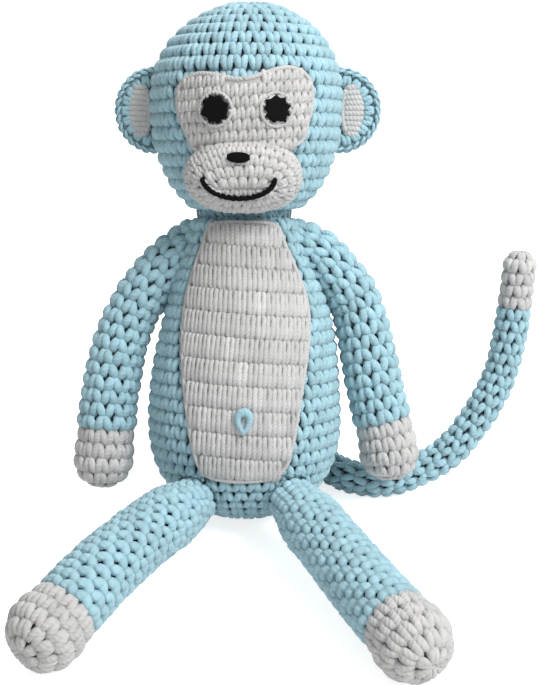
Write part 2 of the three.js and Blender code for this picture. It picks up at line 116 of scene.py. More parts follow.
# Belly panel, across and up from the belly's centre: its top, one side from the top down, and its bottom
PANEL_TOP = 88.2
PANEL_SIDE = [(12, 87.6), (15.3, 84.7), (17.6, 78), (20.8, 70), (25.6, 54), (26.4, 38), (24, 14), (21, -5),
              (18.3, -14), (14, -18.2), (8, -19.6)]
PANEL_BOTTOM = -20
PANEL_SLOPE = -0.08
PANEL_LIFT = 0.5
NAVEL = {"place": (0.6, 5.9), "lift": 2.9, "across": 3, "up": 4.2, "thin": 0.9, "thick": 1.85}

# Limbs: radii, and distances along the limb from its root
ARM = {"root": 11.3, "root_depth": 6, "upper": 10.3, "swell": 26, "join_radius": 12, "ball_radius": 13}
ARM_ENDS = {"left": {"join": 92, "ball": 106.4, "tip": 119.4},
            "right": {"join": 94.6, "ball": 109, "tip": 122}}
ARM_LEAN = 22
LEG = {"root": 9.6, "root_depth": 9, "upper": 12.6, "swell": 18, "join_radius": 13.2, "join": 76,
       "ball_radius": 14.8, "ball": 88}
LEG_TIP = {"left": 103, "right": 101.8}
LEG_SPREAD = {"left": 27.6, "right": -33.8}
LEG_BOW = {"left": -1, "right": 4}
LEG_DIP = 1
FOOT_SINK = 0.5
TAIL = {"root": 6.8, "root_depth": 6.8, "upper": 6.8, "swell": 14, "join_radius": 6.9, "ball_radius": 6.8}
TAIL_TIP_LENGTH = 27

# Middles of the limbs. An arm's runs out and up from its shoulder, and the tail's is in the toy's own frame
ARM_ROUTE = {
    "left": [(-10, -1), (-2.3, -3), (1.2, -5.1), (6.5, -10.5), (12, -16.8), (17, -25), (19.5, -33),
             (21.4, -41.6), (23.6, -52), (25.5, -61.5), (27.5, -71), (30, -81), (32, -91), (33.5, -108)],
    "right": [(-11.5, -0.4), (-2.5, -5.4), (4.9, -12.3), (11.3, -20.1), (17.4, -30), (20.5, -37.5),
              (23, -44.4), (25.6, -56), (27.9, -69), (29.1, -82), (30.2, -93), (31.5, -113)]}
TAIL_ROUTE = [(24, 35, 12), (33, 27, 7.6), (40, 16.5, 7.2), (49, 7.5, 7.2), (61, 3.2, 7.4), (75, 4, 10),
              (94.5, 7, 20.5), (108, 12, 36.6), (117, 17, 53), (121.3, 21, 71.7), (123.3, 24, 90),
              (124.6, 27, 113)]

# Ears
EAR_ROOT_OUT = 40.2
EAR_UP = 1.5
EAR_EDGE = (14.1, 15.5)
EAR_LONGER = {"left": 1.6, "right": 0}
EAR_CHAIN = 1.7
EAR_DISH = 1.6
EAR_THICKNESS = (0.3, 1.5)
EAR_OVAL = {"out": 5.6, "across": 5.9, "up": 10.4, "ribs": 10}
EAR_FOOT = 95

# Each seam's ring of sewing: its radius, its angle from the way inward, and its count of stitches
ARM_SEAM = (11.5, 64, 16)
LEG_SEAM = (11.4, 52, 18)
TAIL_SEAM = (6.7, 44, 10)
NECK_SEAM = (20.6, 86, 30)

# Where the body and the head need no stitches: under this share of a limb's root or of the muzzle, and this
# far in under the edge of the cloth sewn on them. Nearer to that edge, the cloth presses them down
HIDDEN_ROOT = 0.55
HIDDEN_MUZZLE = 0.66
HIDDEN_EDGE = 3.6
PRESSED_EDGE = 0.1
PRESSED = 1.6

# How far in from its outline that cloth has the cord along its edge, and its rows of stitches
CORD_MARGIN = 0.8
ROWS_MARGIN = 1.6
PANEL_CORD = {"points": 150, "radius": 1.1, "lift": 0.1}
PATCH_CORD = {"points": 130, "radius": 1.05, "lift": 0}

# For a stitch of the usual width, how deep its strands, the lining and the filling lie under a form
USUAL_WIDTH = 4.8
STITCH_DEPTH = 1.3
LINING_DEPTH = 2.4
FILLING_DEPTH = 2.9
STRAND_SIDES = 6

# How much of its colour each yarn keeps where shade is painted, in its deepest hollows and on its lining,
# and the
# shape of its strands: their width and height as shares of their thickness
BLUE_HOLLOW_SHADE = 0.35
BLUE_LINING_SHADE = 0.33
BLUE_FLAT = (1.12, 0.95)
WHITE_HOLLOW_SHADE = 0.82
WHITE_LINING_SHADE = 0.7
WHITE_FLAT = (1.2, 0.88)
SMOOTH_PAINTED_SHADE = 0.92

# The mean and the spread of how stitches vary: across the cell, up in mm, in thickness and in tone
VARIETY = [(0, 0.025), (0, 0.08), (1, 0.035), (1, 0.05)]

# A strand in its stitch's cell, place after place: across from the middle and up, as shares of the cell,
# then the height over the form and the radius, in mm for a cell of the usual width
V_STRAND = [(.04, -.2, -1.1, .8), (.1, -.03, -.3, 1), (.18, .16, .55, 1.13), (.25, .36, 1, 1.15),
            (.31, .56, 1.1, 1.1), (.36, .75, .8, 1.05), (.39, .92, 0, .95), (.38, 1.09, -1, .7)]
SHALLOW_STRAND = [(.02, -.02, -.9, .8), (.1, .1, .2, 1), (.2, .22, .8, 1.1), (.3, .35, 1.05, 1.1),
                  (.4, .48, 1, 1.05), (.48, .6, .6, 1), (.53, .72, -.1, .9), (.56, .84, -1, .7)]
POST_STRAND = [(.14, -.1, -.9, .8), (.2, .05, .2, 1.15), (.25, .2, .8, 1.35), (.25, .42, .95, 1.35),
               (.27, .6, .85, 1.05), (.3, .76, .9, 1.1), (.25, .89, .7, 1.05), (.12, 1, -.3, .8)]


def stitch_of(strand):
    """A stitch's two strands: one, and its mirror image."""
    return [strand, [(-u, v, w, r) for u, v, w, r in strand]]


SINGLE = stitch_of(V_STRAND)
SHALLOW = stitch_of(SHALLOW_STRAND)
DOUBLE = stitch_of(POST_STRAND)


class Work:
    """A part's stitches: their cells' width and height in mm, and their thickness and relief as shares."""

    def __init__(self, width, height, yarn=1.0, relief=1.0):
        self.width, self.height, self.yarn, self.relief = width, height, yarn, relief
        self.size = width / USUAL_WIDTH


BODY_WORK = Work(5.9, 5.65, 1.08, 1.15)
PANEL_WORK = Work(3.95, 10.1, 1.1, 0.9)
HEAD_WORK = Work(5.4, 5.65, 1.13, 1.15)
PATCH_WORK = Work(3.6, 4.5, 1.25, 0.6)
MUZZLE_WORK = Work(3.75, 4.5, 1.3, 0.7)
EAR_WORK = Work(4.2, 5, 1.15)
CHAIN_WORK = Work(3.6, 3.7)
ARM_WORK = Work(6.5, 5.6, 1.19)
HAND_WORK = Work(5.1, 6.8, 1.3, 0.7)
LEG_WORK = Work(6.5, 4.1, 1.3, 0.65)
FOOT_WORK = Work(5.2, 6.8, 1.3, 0.7)
TAIL_WORK = Work(5.6, 5.2, 1.2)
TAIL_TIP_WORK = Work(5.6, 6, 1.3, 0.7)


# Curves and outlines

def unit(v):
    v = np.asarray(v, float)
    return v / np.linalg.norm(v, axis=-1, keepdims=True)


def smooth(points, closed=False, steps=10):
    """Places along a centripetal Catmull-Rom curve through some points."""
    points = np.array(points, float)
    if closed:
        padded = np.concatenate([points[-1:], points, points[:2]])
    else:
        padded = np.concatenate([2 * points[:1] - points[1:2], points, 2 * points[-1:] - points[-2:-1]])
    t = np.linspace(0, 1, steps, endpoint=False)[:, None]
    made = []
    for p0, p1, p2, p3 in zip(padded, padded[1:], padded[2:], padded[3:]):
        d0, d1, d2 = (math.sqrt(np.linalg.norm(q - p)) for p, q in ((p0, p1), (p1, p2), (p2, p3)))
        leave = ((p1 - p0) / d0 - (p2 - p0) / (d0 + d1)) * d1 + p2 - p1
        arrive = ((p3 - p2) / d2 - (p3 - p1) / (d1 + d2)) * d1 + p2 - p1
        made.append((2 * t**3 - 3 * t**2 + 1) * p1 + (t**3 - 2 * t**2 + t) * leave
                    + (3 * t**2 - 2 * t**3) * p2 + (t**3 - t**2) * arrive)
    if not closed:
        made.append(points[-1:])
    return np.concatenate(made)


def distances(points):
    """How far along a line each of its points is."""
    return np.concatenate([[0], np.cumsum(np.linalg.norm(np.diff(points, axis=0), axis=1))])


def resampled(points, count, closed=False):
    line = np.concatenate([points, points[:1]]) if closed else points
    run = distances(line)
    wanted = np.linspace(0, run[-1], count, endpoint=not closed)
    return np.stack([np.interp(wanted, run, line[:, k]) for k in range(line.shape[1])], axis=1)


def inside(outline, x, y):
    """Which of some places lie inside a closed outline."""
    found = np.zeros(np.shape(x), bool)
    for (x0, y0), (x1, y1) in zip(outline, np.roll(outline, -1, axis=0)):
        crosses = (y0 > y) != (y1 > y)
        if y0 != y1:
            found ^= crosses & (x < x0 + (y - y0) * (x1 - x0) / (y1 - y0))
    return found


def drawn_in(outline, margin):
    """A closed outline moved in by a margin."""
    ahead = unit(np.roll(outline, -1, axis=0) - np.roll(outline, 1, axis=0))
    inward = np.stack([-ahead[:, 1], ahead[:, 0]], axis=1)
    area = np.sum(outline[:, 0] * np.roll(outline[:, 1], -1) - np.roll(outline[:, 0], -1) * outline[:, 1])
    return outline + math.copysign(margin, area) * inward


def mirrored_outline(top, side, bottom=()):
    """A closed outline from its top, down one side, and up the other."""
    return smooth([(0, top), *side, *bottom, *((-across, up) for across, up in reversed(side))], closed=True)


def turns_round(count):
    return np.arange(count) * TAU / count


def ellipse(across, up, turn):
    return np.stack([across * np.cos(turn), up * np.sin(turn)], axis=1)


def placer(origin, *ways):
    """A function that gives the points at some distances from an origin along each of three ways."""
    def at(*steps):
        point = origin
        for step, way in zip(np.broadcast_arrays(*steps), ways):
            point = point + step[..., None] * way
        return point
    return at


# Surfaces: each gives the point and the way out at a place, which is two numbers

class Shaped:
    """A surface given by a function of two numbers. Facing is -1 where its outside is on the other side."""

    def __init__(self, function, nudge, facing=1, low=-math.inf, high=math.inf):
        self.function, self.nudge, self.facing = function, nudge, facing
        self.low, self.high = low, high

    def point(self, a, b):
        return self.function(np.asarray(a, float), np.asarray(b, float))

    def normal(self, a, b):
        da, db = self.nudge
        b = np.clip(b, self.low + db, self.high - db)
        across = self.point(a + da, b) - self.point(a - da, b)
        along = self.point(a, b + db) - self.point(a, b - db)
        return self.facing * unit(np.cross(across, along))

    def face(self, a, b, toward):
        """Turns the outside to the side that a way points to."""
        self.facing *= np.sign(self.normal(np.array(a), np.array(b)) @ toward)


class Form(Shaped):
    """A profile carried along an axis. A place is a turn from the front, and mm along the profile."""

    def __init__(self, profile, axis):
        self.radius, self.height = np.array(profile, float).T
        self.way = distances(profile)
        self.length = self.way[-1]
        self.axis = axis
        step = 0.5
        super().__init__(self.at, (0.02, step), 1, step, self.length - step)
        turn, middle = 0.3, self.length / 2
        self.face(turn, middle, self.point(turn, middle) - axis(np.interp(middle, self.way, self.height))[0])

    def radius_at(self, way):
        return np.interp(way, self.way, self.radius)

    def way_at(self, height):
        order = np.argsort(self.height)
        return float(np.interp(height, self.height[order], self.way[order]))

    def at(self, turn, way):
        centre, front, side = self.axis(np.interp(way, self.way, self.height))
        outward = np.cos(turn)[..., None] * front + np.sin(turn)[..., None] * side
        return centre + self.radius_at(way)[..., None] * outward


def straight(origin, up, front, sway):
    """An axis that runs straight from its origin, apart from its sway to the left."""
    side = np.cross(up, front)

    def at(height):
        return origin + height[..., None] * up + sway(height)[..., None] * side, front, side
    return at


def routed(points, front):
    """An axis that follows a curve through some points, with as little twist as can be, and its length."""
    curve = resampled(smooth(points), 160)
    run = distances(curve)
    ahead = unit(np.gradient(curve, axis=0))
    fronts = [front]
    for tangent in ahead:
        last = fronts[-1]
        fronts.append(unit(last - tangent * np.dot(last, tangent)))
    fronts = np.array(fronts[1:])
    sides = np.cross(ahead, fronts)
    beyond = 40
    curve = np.concatenate([curve[:1] - beyond * ahead[:1], curve, curve[-1:] + beyond * ahead[-1:]])
    run = np.concatenate([[-beyond], run, [run[-1] + beyond]])
    fronts, sides = (np.concatenate([v[:1], v, v[-1:]]) for v in (fronts, sides))

    def at(height):
        return tuple(np.stack([np.interp(height, run, v[:, k]) for k in range(3)], axis=-1)
                     for v in (curve, fronts, sides))
    return at, run[-2]


class Patch:
    """Cloth on the front of a form. A place is mm across and mm up from the form's origin, on its front."""

    def __init__(self, form, lift=0.0):
        self.form = form
        self.lift = lift
        self.middle = form.way_at(0)
        self.rise = 1 if form.way_at(1) > self.middle else -1

    def place(self, x, y):
        way = self.middle + self.rise * y
        return x / self.form.radius_at(way), way

    def point(self, x, y):
        turn, way = self.place(x, y)
        return self.form.point(turn, way) + self.lift * self.form.normal(turn, way)

    def normal(self, x, y):
        return self.form.normal(*self.place(x, y))

    def back(self, turn, way):
        """Turns the form's own places into places of the cloth."""
        return ((turn + math.pi) % TAU - math.pi) * self.form.radius_at(way), self.rise * (way - self.middle)

    def seen(self, outline):
        """Turns an outline given as across and up, seen square on, into places."""
        way = np.array([self.form.way_at(up) for up in outline[:, 1]])
        radius = self.form.radius_at(way)
        x = radius * np.arcsin(np.clip(outline[:, 0] / radius, -1, 1))
        return np.stack([x, self.rise * (way - self.middle)], axis=1)


class Unrolled:
    """A domed surface whose places are given by flat coordinates about its top."""

    def __init__(self, surface):
        self.surface = surface

    def point(self, x, y):
        return self.surface.point(np.arctan2(y, x), np.hypot(x, y))

    def normal(self, x, y):
        return self.surface.normal(np.arctan2(y, x), np.hypot(x, y))


# Cells: places for stitches

class Cells:
    """The lower middle of each stitch's cell on a surface, the cell's sizes there, and its width in mm."""

    def __init__(self, *columns):
        self.columns = columns
        self.a, self.b, self.da, self.db, self.width = columns

    def keep(self, wanted):
        return Cells(*(column[wanted] for column in self.columns))

    def middles(self):
        return self.a, self.b + self.db / 2


def gathered(rows):
    return Cells(*(np.concatenate(column) for column in zip(*rows)))


def rounds(surface, start, stop, work, seam=math.pi, fewest=6, drift=0.4, spread=TAU):
    """Rows of stitches worked round a surface. Where a row goes right round, it drifts on from the last."""
    rows = max(1, round((stop - start) / work.height))
    height = (stop - start) / rows
    turns = np.linspace(seam, seam + spread, 145)
    made = []
    for row in range(rows):
        run = distances(surface.point(turns, np.full(len(turns), start + (row + 0.5) * height)))
        around = run[-1]
        count = max(fewest, round(around / work.width))
        table = np.concatenate([run[:-1] - around, run, run[1:] + around])
        values = np.concatenate([turns[:-1] - spread, turns, turns[1:] + spread])
        share = np.arange(count) + 0.5 + (drift * row % 1 if spread == TAU else 0)
        middle, low, high = (np.interp((share + side) / count * around, table, values)
                             for side in (0, -.5, .5))
        made.append((middle, np.full(count, start + row * height), high - low, np.full(count, height),
                     np.full(count, around / count)))
    return gathered(made)


def rows_inside(outline, work, slope):
    """Straight rows of stitches that fill an outline, climbing by slope for each mm across."""
    level = outline[:, 1] - slope * outline[:, 0]
    low, high = level.min(), level.max()
    count = round((high - low) / work.height)
    height = (high - low) / count
    ahead, beyond = np.roll(level, -1), np.roll(outline[:, 0], -1)
    made = []
    for row in range(count):
        middle = low + (row + 0.5) * height
        meets = np.flatnonzero((level > middle) != (ahead > middle))
        share = (middle - level[meets]) / (ahead[meets] - level[meets])
        crossings = np.sort(outline[meets, 0] + share * (beyond[meets] - outline[meets, 0]))
        for left, right in zip(crossings[::2], crossings[1::2]):
            stitches = max(1, round((right - left) / work.width))
            across = (right - left) / stitches
            x = left + (np.arange(stitches) + 0.5) * across
            made.append((x, low + row * height + slope * x, np.full(stitches, across),
                         np.full(stitches, height), np.full(stitches, across)))
    return gathered(made)


# Yarn and linings

class Skein:
    """Strands and linings of one piece, gathered in mm until they become its mesh."""

    def __init__(self, seed=0, hollow_shade=BLUE_HOLLOW_SHADE, flat=BLUE_FLAT):
        # The share of its colour that a strand keeps where it lies deepest in its cell: painted shade in the
        # hollows
        self.hollow_shade = hollow_shade
        self.flat = flat
        self.points, self.tones, self.faces, self.spots = [], [], [], []
        self.count = 0
        self.random = np.random.default_rng(seed)

    def add(self, points, tones, faces, spots=None):
        self.points.append(points)
        self.tones.append(np.broadcast_to(tones, len(points)))
        self.faces += [face + self.count for face in faces]
        self.spots += spots or [np.zeros((*face.shape, 2)) for face in faces]
        self.count += len(points)

    def strands(self, lines, normals, radii, tones=1.0, flat=None):
        """Round strands along lines, each closed at both ends. They are wide across the cloth."""
        width, height = flat or self.flat
        radii = np.broadcast_to(radii, lines.shape[:2])
        many, steps = radii.shape
        normals = np.broadcast_to(normals, lines.shape)
        side = unit(np.cross(unit(np.gradient(lines, axis=1)), normals))
        out = np.cross(side, unit(np.gradient(lines, axis=1)))
        angle = turns_round(STRAND_SIDES)[:, None]
        ring = width * np.cos(angle) * side[:, :, None] + height * np.sin(angle) * out[:, :, None]
        points = lines[:, :, None] + radii[:, :, None, None] * ring
        step, corner = np.meshgrid(np.arange(steps - 1), np.arange(STRAND_SIDES), indexing="ij")
        here = (step * STRAND_SIDES + corner).ravel()
        near = (step * STRAND_SIDES + (corner + 1) % STRAND_SIDES).ravel()
        quads = np.stack([here, here + STRAND_SIDES, near + STRAND_SIDES, near], axis=1)
        first = np.arange(many)[:, None, None] * steps * STRAND_SIDES
        run = np.linalg.norm(np.diff(lines, axis=1), axis=2).cumsum(axis=1)
        run = np.concatenate([np.zeros((many, 1)), run], axis=1)
        u = np.stack([corner, corner, corner + 1, corner + 1], axis=-1).reshape(-1, 4) / STRAND_SIDES
        v = run[:, np.stack([step, step + 1, step + 1, step], axis=-1).reshape(-1, 4)]
        around = np.arange(STRAND_SIDES)
        ends = np.stack([around, around[::-1] + (steps - 1) * STRAND_SIDES])
        end_spots = np.stack(np.broadcast_arrays(around / STRAND_SIDES, run[:, [0, -1], None]), axis=-1)
        tones = np.repeat(np.broadcast_to(tones, radii.shape).ravel(), STRAND_SIDES)
        self.add(points.reshape(-1, 3), tones,
                 [(first + quads).reshape(-1, 4), (first + ends).reshape(-1, STRAND_SIDES)],
                 [np.stack(np.broadcast_arrays(u, v), axis=-1).reshape(-1, 4, 2),
                  end_spots.reshape(-1, STRAND_SIDES, 2)])

    def sew(self, surface, cells, stitch, work, slant=0.1, pressed=0.0):
        """One stitch in each cell. Its strands grow with the cell where that widens."""
        sway, up, swell, shade = (self.random.normal(mean, spread, len(cells.a))[:, None]
                                  for mean, spread in VARIETY)
        width = cells.width[:, None]
        size = work.yarn * width / USUAL_WIDTH
        lift = up - np.broadcast_to(pressed, len(cells.a))[:, None]
        hollow, open_height, least, most = -1.1, 0.8, 0.45, 1.5
        for strand in stitch:
            u, v, w, r = np.array(strand).T
            a = cells.a[:, None] + (u + slant * (v - 0.5) + sway) * cells.da[:, None]
            b = cells.b[:, None] + v * cells.db[:, None]
            half = cells.da[:, None] / 2
            span = np.linalg.norm(surface.point(a + half, b) - surface.point(a - half, b), axis=-1)
            normals = surface.normal(a, b)
            lines = surface.point(a, b) + (work.relief * w * size + lift)[..., None] * normals
            # Painted shade: each strand's colour is darkened the lower it lies in its cell, from open_height
            # down to hollow
            shallow = np.clip((w - hollow) / (open_height - hollow), 0, 1)
            hollow_shade = self.hollow_shade + (1 - self.hollow_shade) * shallow ** 2 * (3 - 2 * shallow)
            self.strands(lines, normals, r * size * np.clip(span / width, least, most) * swell, shade * hollow_shade)

    def cord(self, line, normals, radius, tone=1.0, closed=False):
        """One strand along a line of points."""
        if closed:
            columns = line, np.broadcast_to(normals, line.shape), np.broadcast_to(radius, len(line))
            line, normals, radius = (np.concatenate([v, v[:2]]) for v in columns)
        self.strands(line[None], normals, radius, tone, flat=(1, 1))

    def lining(self, form, tone, sides):
        """A closed skin over a form, from the axis to the axis, in a tone: on a cover, darker to paint the
        shade in the gaps between stitches.
        """
        steps = max(8, round(form.length / 4))
        turn, way = np.meshgrid(turns_round(sides), np.linspace(0, form.length, steps + 1)[1:-1])
        ends = form.point(np.zeros(2), np.array([0, form.length]))
        points = np.concatenate([form.point(turn, way).reshape(-1, 3), ends])
        row, side = np.meshgrid(np.arange(steps - 2), np.arange(sides), indexing="ij")
        here = (row * sides + side).ravel()
        near = (row * sides + (side + 1) % sides).ravel()
        quads = np.stack([here, near, near + sides, here + sides], axis=1)
        side = np.arange(sides)
        after = (side + 1) % sides
        low, high = (steps - 1) * sides, (steps - 1) * sides + 1
        last = (steps - 2) * sides
        caps = np.concatenate([np.stack([np.full(sides, low), after, side], axis=1),
                               np.stack([np.full(sides, high), last + side, last + after], axis=1)])
        if form.facing < 0:
            quads, caps = quads[:, ::-1], caps[:, ::-1]
        self.add(points, tone, [quads, caps])

    def backing(self, surface, outline, top, bottom, tone, spacing=4.0):
        """A closed sheet of cloth inside an outline, between two heights over a surface, in a tone: behind
        stitches, darker to paint the shade in the gaps between them.
        """
        edge = resampled(outline, max(12, round(distances(outline)[-1] / (spacing / 2))), closed=True)
        low, high = edge.min(axis=0), edge.max(axis=0)
        x, y = np.meshgrid(np.arange(low[0], high[0], spacing), np.arange(low[1], high[1], spacing))
        within = inside(drawn_in(edge, spacing / 3), x, y)
        flat = np.concatenate([edge, np.stack([x[within], y[within]], axis=1)])
        joined = [(k, (k + 1) % len(edge)) for k in range(len(edge))]
        made = delaunay_2d_cdt([Vector(p) for p in flat], joined, [], 1, 1e-5)
        flat = np.array([list(p) for p in made[0]])
        top_faces = np.array(made[2])
        normals = surface.normal(flat[:, 0], flat[:, 1])
        points = surface.point(flat[:, 0], flat[:, 1])
        corner = points[top_faces[0]]
        if np.dot(np.cross(corner[1] - corner[0], corner[2] - corner[0]), normals[top_faces[0][0]]) < 0:
            top_faces = top_faces[:, ::-1]
        edges = np.concatenate([top_faces[:, [k, (k + 1) % 3]] for k in range(3)])
        known = {tuple(e) for e in edges}
        rim = np.array([(a, b) for a, b in edges if (b, a) not in known])
        count = len(flat)
        sides = np.stack([rim[:, 1], rim[:, 0], rim[:, 0] + count, rim[:, 1] + count], axis=1)
        self.add(np.concatenate([points + top * normals, points + bottom * normals]), tone,
                 [top_faces, top_faces[:, ::-1] + count, sides])

    def mesh(self, name, material):
        """Makes the piece's object."""
        mesh = bpy.data.meshes.new(name)
        points = np.concatenate(self.points) * MM
        mesh.vertices.add(len(points))
        mesh.vertices.foreach_set("co", points.astype(np.float32).ravel())
        sizes = np.concatenate([np.full(len(f), f.shape[1]) for f in self.faces])
        corners = np.concatenate([f.ravel() for f in self.faces])
        starts = np.concatenate([[0], np.cumsum(sizes)[:-1]])
        mesh.loops.add(len(corners))
        mesh.loops.foreach_set("vertex_index", corners.astype(np.int32))
        mesh.polygons.add(len(sizes))
        mesh.polygons.foreach_set("loop_start", starts.astype(np.int32))
        mesh.polygons.foreach_set("loop_total", sizes.astype(np.int32))
        mesh.update(calc_edges=True)
        spots = np.concatenate([s.reshape(-1, 2) for s in self.spots])
        mesh.uv_layers.new(name="yarn").data.foreach_set("uv", spots.astype(np.float32).ravel())
        # Each point's tone: its stitch's random tone, times the painted shade of its hollow, lining or
        # backing
        tones = mesh.attributes.new("tone", "FLOAT", "POINT")
        tones.data.foreach_set("value", np.concatenate(self.tones).astype(np.float32))
        mesh.shade_smooth()
        mesh.materials.append(material)
        thing = bpy.data.objects.new(name, mesh)
        bpy.context.scene.collection.objects.link(thing)
        return thing


def finished(skein, slot, body, node, name=None):
    """Makes a piece of a material, attaches it to what it rides on, and hides the part that it stands for.
    """
    piece = skein.mesh(name or node + "_yarn", MATERIAL[slot])
    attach(piece, body)
    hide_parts(node)


def make_filling(node, form, body):
    """Loose filling just inside a cover's lining."""
    skein = Skein()
    skein.lining(form, 1.0, sides=32)
    finished(skein, "fibre", body, node, name=node + "_fibre")


# Materials

def feed(tree, node, inputs):
    """Sets a shader node's inputs, each to a value or to another node's output."""
    for place, value in inputs.items():
        if isinstance(value, bpy.types.NodeSocket):
            tree.links.new(value, node.inputs[place])
        else:
            node.inputs[place].default_value = value


def add_node(tree, kind, inputs=None, **settings):
    """The outputs of a new shader node."""
    node = tree.nodes.new("ShaderNode" + kind)
    for name, value in settings.items():
        setattr(node, name, value)
    feed(tree, node, inputs or {})
    return node.outputs


def calculated(tree, operation, *values, **settings):
    """The output of a Math node."""
    return add_node(tree, "Math", dict(enumerate(values)), operation=operation, **settings)["Value"]


def new_material(name, inputs):
    """A material, its node tree, and its shader with some inputs set."""
    material = bpy.data.materials.new(name)
    material.use_nodes = True
    tree = material.node_tree
    shader = tree.nodes["Principled BSDF"]
    feed(tree, shader, inputs)
    return material, tree, shader


def yarn_material(name, colour, sheen, roughness, gloss, depth):
    """Twisted cotton: the mesh's tone gives each stitch's random tone and the painted shade in hollows and
    on linings, and plies and fibres run round each strand.
    """
    plies, pitch = 3, 1.5
    material, tree, shader = new_material(name, {"Roughness": roughness, "Sheen Weight": sheen,
                                                 "Sheen Roughness": 0.5, "Specular IOR Level": gloss})
    place = add_node(tree, "TexCoord")["Object"]
    tone = add_node(tree, "Attribute", attribute_name="tone")["Fac"]
    blotches = add_node(tree, "TexNoise", {"Vector": place, "Scale": 260, "Detail": 3})["Fac"]
    spread = add_node(tree, "MapRange", {"Value": blotches, "To Min": 0.86, "To Max": 1.14})["Result"]
    strength = calculated(tree, "MULTIPLY", tone, spread)
    tinted = add_node(tree, "VectorMath", {0: colour, "Scale": strength}, operation="SCALE")["Vector"]
    spot = add_node(tree, "SeparateXYZ", {0: add_node(tree, "UVMap", uv_map="yarn")["UV"]})
    around = calculated(tree, "MULTIPLY", spot["X"], plies * TAU)
    along = calculated(tree, "MULTIPLY_ADD", spot["Y"], TAU / pitch, around)
    twist = calculated(tree, "SINE", along)
    fibres = add_node(tree, "TexNoise", {"Vector": place, "Scale": 2600, "Detail": 4})["Fac"]
    height = calculated(tree, "MULTIPLY_ADD", fibres, 1.5, twist)
    bump = add_node(tree, "Bump", {"Strength": 0.5, "Distance": depth * MM, "Height": height})["Normal"]
    feed(tree, shader, {"Base Color": tinted, "Normal": bump})
    return material


def fibre_material():
    """Loose filling: pale tangled fibres."""
    material, tree, shader = new_material("loose_fibre", {"Roughness": 1, "Sheen Weight": 0.5})
    place = add_node(tree, "TexCoord")["Object"]
    tangle = add_node(tree, "TexNoise", {"Vector": place, "Scale": 300, "Detail": 8, "Distortion": 2})["Fac"]
    ramp = tree.nodes.new("ShaderNodeValToRGB")
    ramp.color_ramp.elements[0].color = (0.6, 0.59, 0.56, 1)
    ramp.color_ramp.elements[1].color = (0.9, 0.89, 0.85, 1)
    feed(tree, ramp, {"Fac": tangle})
    bump = add_node(tree, "Bump", {"Distance": 0.8 * MM, "Height": tangle})["Normal"]
    feed(tree, shader, {"Base Color": ramp.outputs["Color"], "Normal": bump})
    return material


MATERIAL = {
    "blue_yarn": yarn_material("blue_yarn", (0.325, 0.52, 0.59), 0.25, 0.8, 0.3, 0.16),
    "white_yarn": yarn_material("white_yarn", (0.51, 0.505, 0.5), 0.15, 0.85, 0.3, 0.16),
    "black_yarn": yarn_material("black_yarn", (0.004, 0.004, 0.004), 0, 0.8, 0.06, 0.1),
    "fibre": fibre_material()}


# Frames and forms of the body and the head

def leaning(degrees):
    """Up and front for something that leans back."""
    lean = math.radians(degrees)
    return np.array([0, math.sin(lean), math.cos(lean)]), np.array([0, -math.cos(lean), math.sin(lean)])


SIDE = np.array([1.0, 0, 0])
TORSO_UP, TORSO_FRONT = leaning(TORSO_LEAN)
HEAD_UP, HEAD_FRONT = leaning(HEAD_LEAN)
MUZZLE_RISE, MUZZLE_FRONT = leaning(HEAD_LEAN - MUZZLE_TILT)
NECK = PIVOT["neck_nod"]
BELLY = NECK - NECK_HEIGHT * TORSO_UP
HEAD = NECK + HEAD_OVER_NECK * HEAD_UP
MUZZLE = HEAD + MUZZLE_SHIFT * SIDE + MUZZLE_PLACE[0] * HEAD_FRONT - MUZZLE_PLACE[1] * HEAD_UP


def oval_arc(radius, height, squareness, start, stop, steps=40):
    """Part of an oval profile, from one angle over the middle to another."""
    angle = np.radians(np.linspace(start, stop, steps + 1))
    across = radius * np.clip(np.cos(angle), 0, 1) ** (2 / squareness)
    along = height * np.sign(np.sin(angle)) * np.abs(np.sin(angle)) ** (2 / squareness)
    return np.stack([across, along], axis=1)


def torso_form(inset=0.0):
    """The torso from its seat up to the top of its neck."""
    radius, rise = BELLY_RADIUS - inset, TORSO_RISE - inset
    ledge, dome = SHOULDER_HEIGHT - inset, NECK_DOME - inset
    seat = oval_arc(radius, SEAT_DEPTH - inset, SEAT_SQUARENESS, -90, 0)
    top = math.degrees(math.asin((ledge / rise) ** (TORSO_SQUARENESS / 2)))
    egg = oval_arc(radius, rise, TORSO_SQUARENESS, 0, top)
    fill = np.clip((egg[:, 1] - SHOULDER_FILL["from"]) / (ledge - SHOULDER_FILL["from"]), 0, 1) ** 2
    egg[:, 0] += SHOULDER_FILL["most"] * fill
    neck = oval_arc(dome, dome, 2, math.degrees(math.asin((ledge - NECK_HEIGHT) / dome)), 90)

    def sway(height):
        return TORSO_SWAY["most"] * np.exp(-((height - TORSO_SWAY["height"]) / TORSO_SWAY["reach"]) ** 2)
    profile = np.concatenate([seat, egg[1:], neck + [0, NECK_HEIGHT]])
    return Form(profile, straight(BELLY, TORSO_UP, TORSO_FRONT, sway))


